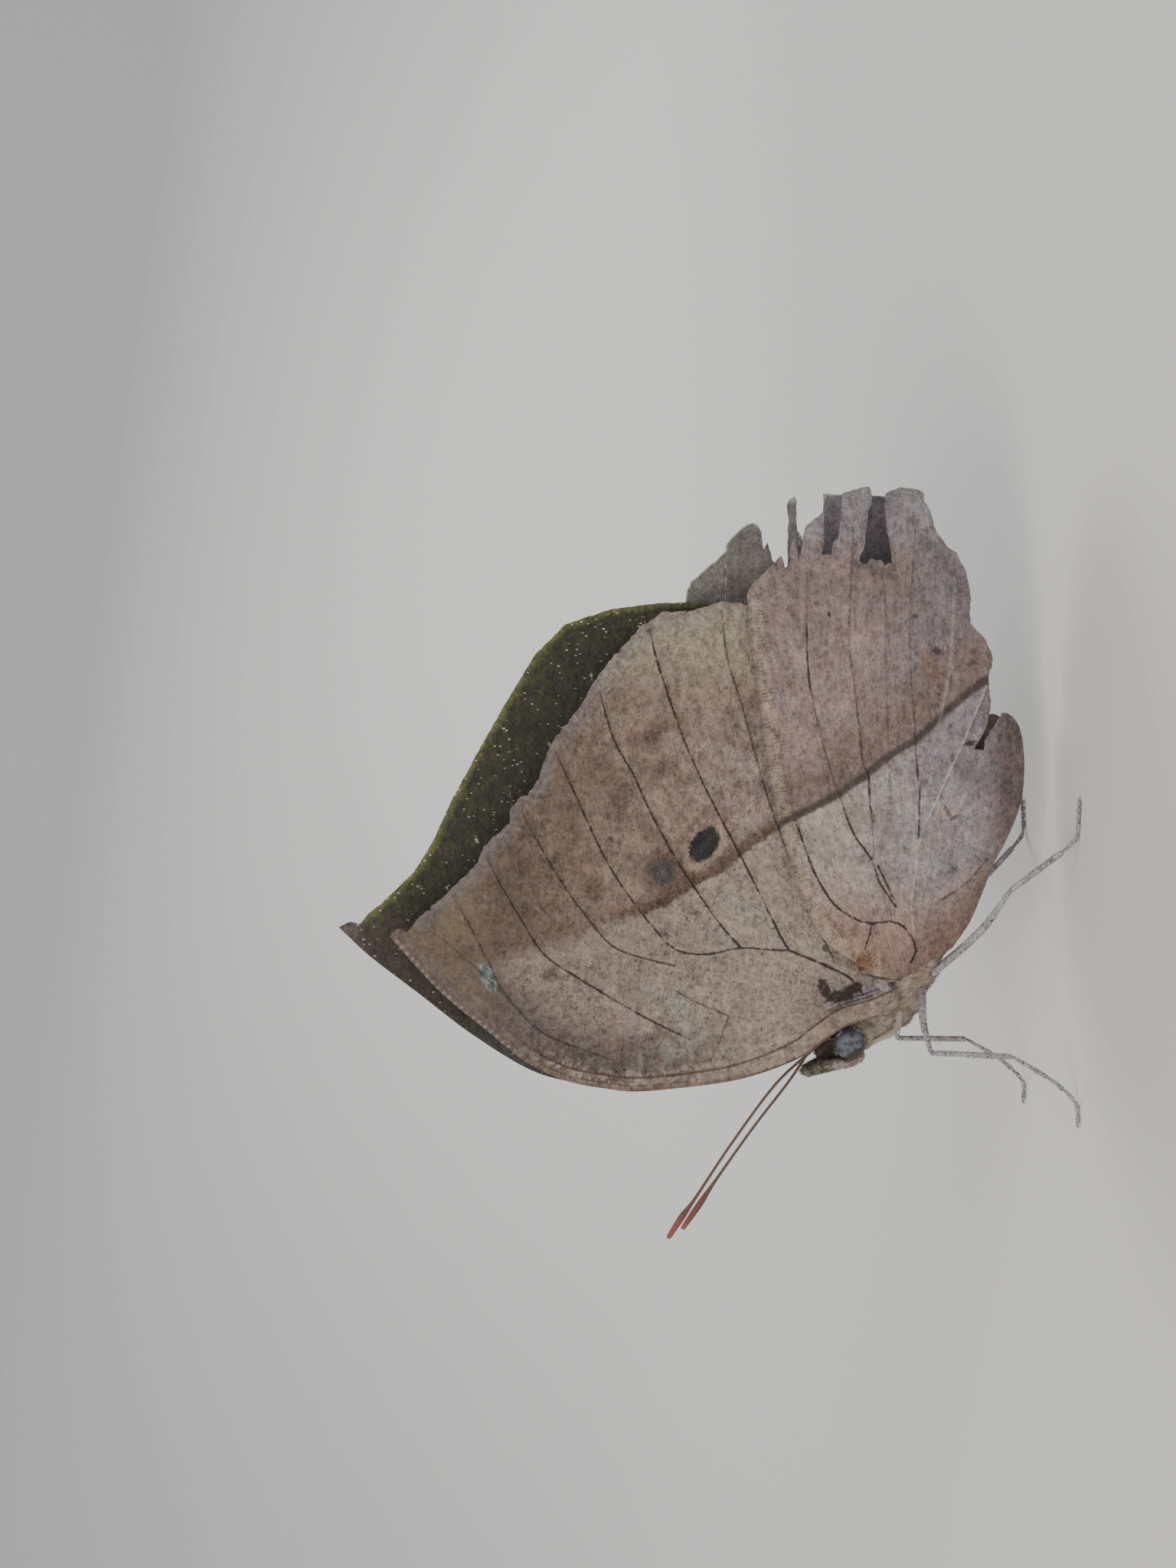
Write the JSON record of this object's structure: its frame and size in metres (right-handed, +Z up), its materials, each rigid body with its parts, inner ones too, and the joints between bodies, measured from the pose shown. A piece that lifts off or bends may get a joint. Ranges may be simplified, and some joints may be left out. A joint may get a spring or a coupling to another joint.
{
  "type": "butterfly",
  "caption": "Leaf-like brown butterfly standing with its wings shut over its back, one pair worn and torn at the edges.",
  "frame": {"origin": "middle of the whole outline's footprint, on the floor under the feet", "axes": "+Z up from the floor, +X towards the tail, so the head points to -X and the animal's left wings are on the -Y side"},
  "size_m": [0.0734, 0.0212, 0.0705],
  "materials": {
    "forewing": "dry leaf brown scales, matt",
    "hindwing": "dry leaf brown scales with a dark midrib line, matt",
    "body_fur": "short tan hair",
    "abdomen": "short dark brown hair",
    "eye": "dark grey faceted, satin",
    "antenna": "dark brown, rust red club",
    "leg": "pale grey scales, matt",
    "tongue": "dark brown, satin"
  },
  "bodies": {
    "root": {"abdomen": "abdomen", "antenna_left": "antenna", "antenna_right": "antenna", "eye_left": "eye", "eye_right": "eye", "foreleg_left": "body_fur", "foreleg_right": "body_fur", "forewing_left": "forewing", "forewing_right": "forewing", "head": "body_fur", "hindleg_femur_left": "leg", "hindleg_femur_right": "leg", "hindleg_tarsus_left": "leg", "hindleg_tarsus_right": "leg", "hindleg_tibia_left": "leg", "hindleg_tibia_right": "leg", "hindwing_left": "hindwing", "hindwing_right": "hindwing", "midleg_femur_left": "leg", "midleg_femur_right": "leg", "midleg_tarsus_left": "leg", "midleg_tarsus_right": "leg", "midleg_tibia_left": "leg", "midleg_tibia_right": "leg", "palp_left": "body_fur", "palp_right": "body_fur", "proboscis": "tongue", "thorax": "body_fur"}
  },
  "joints": []
}
